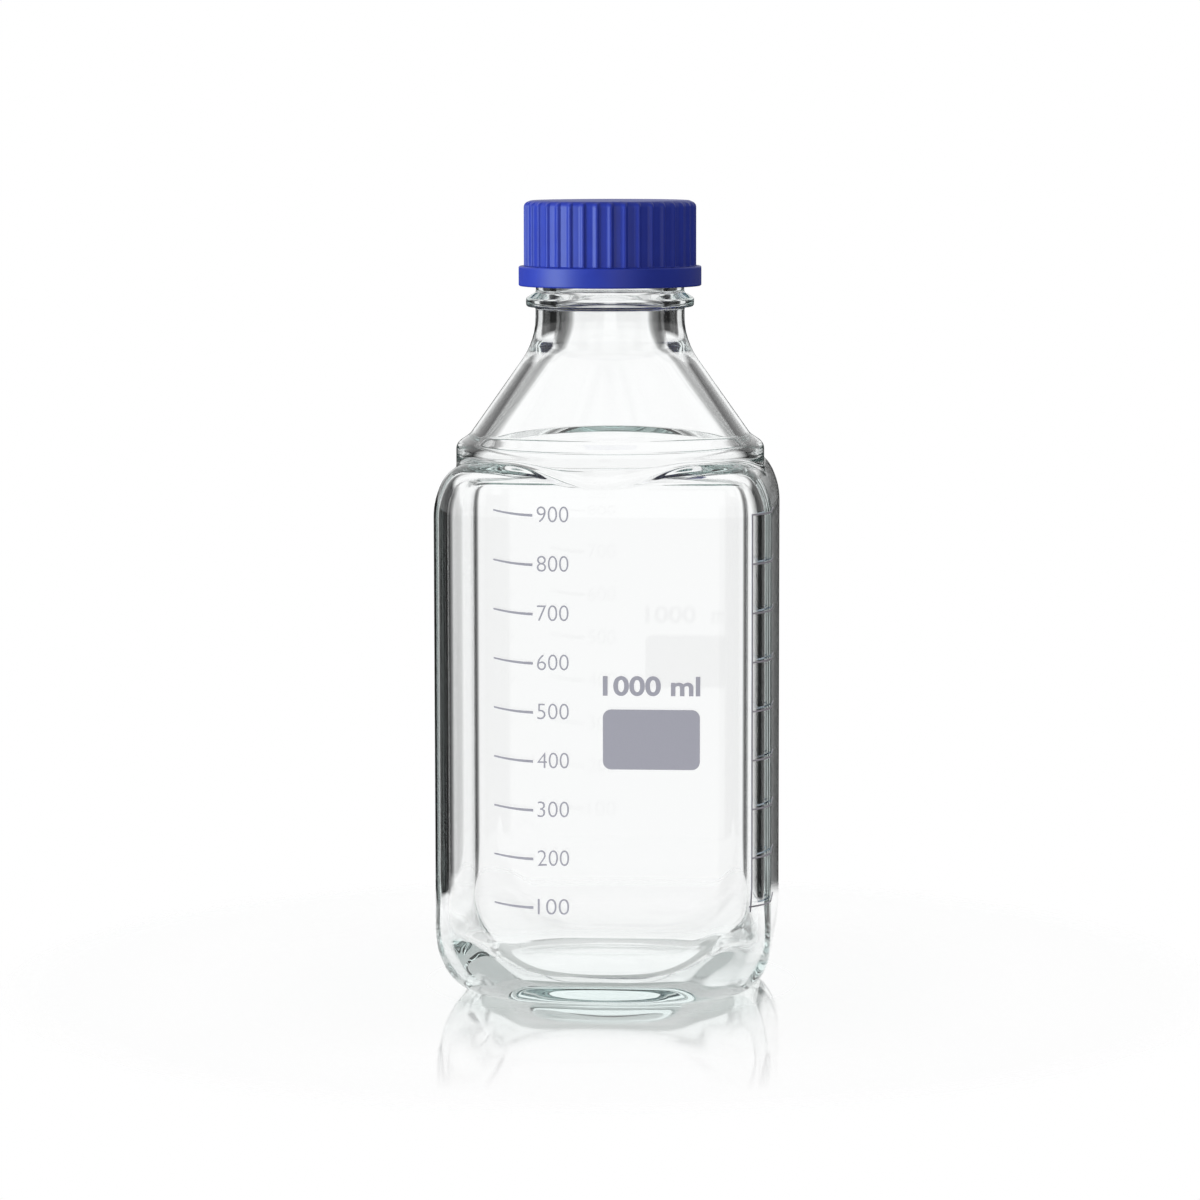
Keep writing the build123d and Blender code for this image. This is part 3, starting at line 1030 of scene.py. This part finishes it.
@dataclass(frozen=True)
class Studio:
    """A white plate under the bottle, a white surround with dark sides far off, soft lamps and the camera."""

    plate_radius: float = 0.60
    plate_clear: float = 0.155  # from here outwards the plate fades into the white surround
    plate_gone: float = 0.185
    foot_radius: float = 0.040
    painted_shade_span: tuple[float, float] = (0.45, 0.72)  # from steep to grazing, as the layer weight's facing, over which the plate's glow rises from its painted shade to full
    lamp_height: float = 1.2
    lamp_width: float = 0.8
    lamp_width_loss: float = 1.15  # power that the wide lamp needs, against a small one as far off
    lamp_share: float = 0.38  # light of the plate that comes from the lamp above it, and that the bottle shades
    painted_steep_glow: float = 0.26  # painted shade: the plate's glow is dimmed to this share for steep rays out of the glass
    mirror: float = 0.85  # share of light that the plate mirrors at the foot
    ambient: float = 0.24  # strength of the surround as a lamp
    level_sides: tuple[tuple[float, float], ...] = (
        (10.5, 1.0),
        (12.5, 0.42),
        (15.0, 0.16),
        (20.0, 0.05),
        (30.0, 0.02),
        (45.0, 0.01),
    )  # degrees off the middle of a white patch, and the light there
    lower_sides: tuple[tuple[float, float], ...] = ((11.0, 1.0), (15.0, 0.45), (22.5, 0.15))
    lower_edge: tuple[float, float] = (-0.20, -0.23)  # rise over which the level band gives way to the lower one
    high_edge: tuple[float, float] = (0.30, 0.45)  # and over which the white above begins
    deep_edge: tuple[float, float] = (-0.55, -0.65)  # and the white far below
    mirror_edge: tuple[float, float] = (0.02, 0.06)  # rise over which mirrored rays turn from dark to white
    mirror_dark: float = 0.04
    patch_turn: float = 3.6  # degrees that the patches are turned off the axis directions
    bounces: int = 24  # enough for light that runs on inside the wall
    cap_middle: tuple[float, float, float] = (0.0, 0.0, 0.2)  # what the lamps look at
    camera_distance: float = 1.2874
    camera_height: float = 0.24795
    camera_azimuth: float = 4.16
    camera_pitch: float = -6.076
    camera_roll: float = -0.09
    axis_pixel: float = 610.5
    lens: float = 135.0

    @staticmethod
    def patches(
        tree: Tree, angle: Socket, sides: tuple[tuple[float, float], ...]
    ) -> Socket:
        """Adds a ramp of light over the angle off a white patch's middle.

        Args:
            tree: the world's node tree.
            angle: output that gives the angle, in radians.
            sides: pairs of an angle in degrees and the light there.

        Returns:
            The output that gives the light as a grey.
        """
        grey = add_node(tree, "ValToRGB", {0: angle})
        ramp = grey.color_ramp
        ramp.elements[0].position = math.radians(sides[0][0])
        ramp.elements[1].position = math.radians(sides[-1][0])
        for degrees, _ in sides[1:-1]:
            ramp.elements.new(math.radians(degrees))
        for element, (_, light) in zip(ramp.elements, sides):
            element.color = linear_grey(light)
        return grey.outputs[0]

    def surround(self) -> None:
        """Sets the world: white for the camera, with dark sides for the glass, and a plain soft light for the rest.

        Out of the glass, rays meet a level band that is white in four patches near the axis directions, and dark
        between them, as a light table with dark walls round it is. Below that band are eight white patches with a
        grey between them, for the eye that looks down on a face or on a corner. High up all is white. Mirrored
        rays meet white above the horizon and dark below it. A ray that a matt surface has scattered meets the same
        soft light in every direction.
        """
        world = bpy.data.worlds.new("studio_surround")
        bpy.context.scene.world = world
        world.use_nodes = True
        tree = world.node_tree
        tree.nodes.clear()
        path = add_node(tree, "LightPath")
        way = add_node(tree, "TexCoord").outputs["Generated"]
        turned = add_node(
            tree,
            "VectorRotate",
            {"Vector": way, "Angle": math.radians(-self.patch_turn)},
            rotation_type="Z_AXIS",
        )
        east, north, rise = add_node(tree, "SeparateXYZ", {0: turned.outputs[0]}).outputs
        across, along = (reckon(tree, "ABSOLUTE", part) for part in (east, north))
        small, large = (reckon(tree, pick, across, along) for pick in ("MINIMUM", "MAXIMUM"))
        angle = reckon(tree, "ARCTAN2", small, large)
        nearer = reckon(tree, "MINIMUM", angle, reckon(tree, "SUBTRACT", math.pi / 4, angle))
        level = self.patches(tree, angle, self.level_sides)
        below = self.patches(tree, nearer, self.lower_sides)
        sides = mixed_colour(tree, ramped(tree, rise, self.lower_edge), level, below)
        ends = (ramped(tree, rise, edge) for edge in (self.high_edge, self.deep_edge))
        seen = mixed_colour(tree, reckon(tree, "MAXIMUM", *ends), sides, (1, 1, 1, 1))
        horizon = ramped(tree, rise, self.mirror_edge)
        mirror_seen = mixed_colour(tree, horizon, linear_grey(self.mirror_dark), (1, 1, 1, 1))
        through = add_node(tree, "Background", {"Color": seen, "Strength": 1.0})
        mirrored_light = add_node(tree, "Background", {"Color": mirror_seen, "Strength": 1.0})
        white = add_node(tree, "Background", {"Color": (1, 1, 1, 1), "Strength": 1.0})
        soft = add_node(tree, "Background", {"Color": (1, 1, 1, 1), "Strength": self.ambient})
        mirrored = mixed_shader(tree, path.outputs["Is Glossy Ray"], soft, mirrored_light)
        glassy = mixed_shader(tree, path.outputs["Is Transmission Ray"], mirrored, through)
        scattered = reckon(tree, "GREATER_THAN", path.outputs["Diffuse Depth"], 0.5)
        plain = mixed_shader(tree, scattered, glassy, soft)
        shown = mixed_shader(tree, path.outputs["Is Camera Ray"], plain, white)
        add_node(tree, "OutputWorld", {"Surface": shown.outputs[0]})

    def plate(self) -> Piece:
        """Lays a white plate under the bottle, polished near it, fading outwards into the white surround.

        The surround and the lamp above light its matt part, where the bottle casts its shadow, and a glow makes up
        what is missing to white. For steep rays out of the glass that glow is dimmed by the facing, a painted shade.
        """
        count = 96
        around = np.arange(count) * 2 * math.pi / count
        points = np.stack([np.cos(around), np.sin(around), np.zeros(count)], axis=1) * self.plate_radius
        mesh = bpy.data.meshes.new("pale_plate")
        mesh.from_pydata(points.tolist(), [], [list(range(count))])
        mesh.update()
        plate = add_piece("pale_plate", mesh)
        material, tree, output = new_material("polished_white_plate")
        place = add_node(tree, "TexCoord").outputs["Object"]
        distance = add_node(tree, "VectorMath", {0: place}, operation="LENGTH").outputs["Value"]
        edge = (self.plate_clear, self.plate_gone)
        fade = ramped(tree, distance, edge, interpolation_type="SMOOTHSTEP")
        path = add_node(tree, "LightPath")
        # painted shade: rays out of the glass that meet the plate steeply see its glow dimmed, by the layer weight's
        # facing
        steep = reckon(tree, "MULTIPLY_ADD", path.outputs["Is Transmission Ray"], self.painted_steep_glow - 1.0, 1.0)
        facing_weight = add_node(tree, "LayerWeight", {"Blend": 0.5})
        painted_shade_factor = ramped(tree, facing_weight.outputs["Facing"], self.painted_shade_span, steep)
        glow_light = reckon(tree, "MULTIPLY", painted_shade_factor, 1.0 - self.ambient - self.lamp_share)
        glow = add_node(tree, "Emission", {"Color": (1, 1, 1, 1), "Strength": glow_light})
        matt = add_node(tree, "BsdfDiffuse", {"Color": (1, 1, 1, 1)})
        pale = add_node(tree, "AddShader", {0: glow.outputs[0], 1: matt.outputs[0]})
        polish = add_node(tree, "BsdfGlossy", {"Color": (1, 1, 1, 1), "Roughness": 0.06})
        mirror = ramped(tree, distance, (self.foot_radius, self.plate_clear), self.mirror, 0.0)
        lit = mixed_shader(tree, mirror, pale, polish)
        mixed = mixed_shader(tree, fade, lit, add_node(tree, "BsdfTransparent"))
        tree.links.new(mixed.outputs[0], output.inputs["Surface"])
        plate.data.materials.append(material)
        return plate

    def lamp(
        self,
        name: str,
        place: tuple[float, float, float],
        width: float,
        power: float,
        colour: str,
        lit: list[Piece],
        mirrored: bool = True,
    ) -> None:
        """Hangs a square soft lamp that looks at the cap, and lights only some pieces, so that no glass mirrors it.

        Args:
            name: name of the lamp.
            place: where it hangs, in metres.
            width: its side, in metres.
            power: in watts.
            colour: colour of its light, as six hexadecimal digits of sRGB.
            lit: the pieces that it lights.
            mirrored: whether they mirror it too.
        """
        light = bpy.data.lights.new(name, "AREA")
        light.shape = "SQUARE"
        light.size = width
        light.energy = power
        light.color = linear_colour(colour)[:3]
        holder = bpy.data.objects.new(name, light)
        holder.matrix_world = aimed(Vector(place), Vector(self.cap_middle) - Vector(place))
        holder.visible_camera = False
        holder.visible_transmission = False
        holder.visible_glossy = mirrored
        group = bpy.data.collections.new(name + "_lights")
        for piece in lit:
            group.objects.link(piece)
        holder.light_linking.receiver_collection = group
        bpy.context.scene.collection.objects.link(holder)

    def camera(self) -> None:
        """Sets the camera: in front, a little to the right of the printed face, looking slightly down."""
        focal = IMAGE_SIDE * self.lens / 36
        azimuth = math.radians(self.camera_azimuth)
        place = Vector(
            (
                self.camera_distance * math.sin(azimuth),
                -self.camera_distance * math.cos(azimuth),
                self.camera_height,
            )
        )
        aside = azimuth + math.atan((self.axis_pixel - IMAGE_SIDE / 2) / focal)
        pitch = math.radians(self.camera_pitch)
        look = Vector((-math.sin(aside) * math.cos(pitch), math.cos(aside) * math.cos(pitch), math.sin(pitch)))
        lens = bpy.data.cameras.new("studio_camera")
        lens.lens = self.lens
        lens.sensor_width = 36
        camera = bpy.data.objects.new("studio_camera", lens)
        camera.matrix_world = aimed(place, look) @ Matrix.Rotation(math.radians(self.camera_roll), 4, "Z")
        bpy.context.scene.collection.objects.link(camera)
        bpy.context.scene.camera = camera

    def build(self, lit: list[Piece]) -> None:
        """Sets up the surround, the plate, the lamps and the camera.

        Args:
            lit: the pieces that the lamps light.
        """
        self.camera()
        self.surround()
        plate = self.plate()
        height = self.lamp_height
        power = self.lamp_share * self.lamp_width_loss * math.pi**2 * height**2
        self.lamp("plate_lamp_above", (0, 0, height), self.lamp_width, power, "ffffff", [plate], mirrored=False)
        self.lamp("key_lamp_left", (-0.95, -0.42, 0.26), 0.50, 13.0, "e4f8ff", lit)
        self.lamp("fill_lamp_front", (0.30, -1.30, 0.35), 0.7, 4.0, "ffffff", lit)
        scene = bpy.context.scene
        scene.view_settings.view_transform = "Standard"
        scene.cycles.max_bounces = self.bounces
        scene.cycles.glossy_bounces = self.bounces
        scene.cycles.transmission_bounces = self.bounces


def corners(box: tuple[Vector, Vector]) -> list[list[float]]:
    """A box's two corners as plain lists."""
    return [list(corner) for corner in box]


def main() -> None:
    """Builds the bottle, the ring, the cap, the print and the studio, sized from the boxes of the parts in model.glb.
    """
    logging.basicConfig(level=logging.INFO, format="%(name)s: %(message)s")
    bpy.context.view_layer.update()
    bottle_low, bottle_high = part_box("bottle")
    _, ring_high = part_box("pouring_ring")
    cap_low, cap_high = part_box("screw_cap")
    bottle = GlassBottle((bottle_high.x - bottle_low.x) / MM, bottle_high.z / MM)
    bottle.build()
    plastic = POLYPROPYLENE.make()
    ring = PouringRing(bottle.mouth_height, ring_high.z / MM).build(plastic)
    cap = ScrewCap(cap_low.z / MM, cap_high.z / MM, cap_high.x / MM).build(plastic)
    characters = EnamelPrint(bottle.side / 2).build()
    Studio().build([ring, cap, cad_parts["enamel_print"], *characters])


if __name__ == "__main__":
    main()
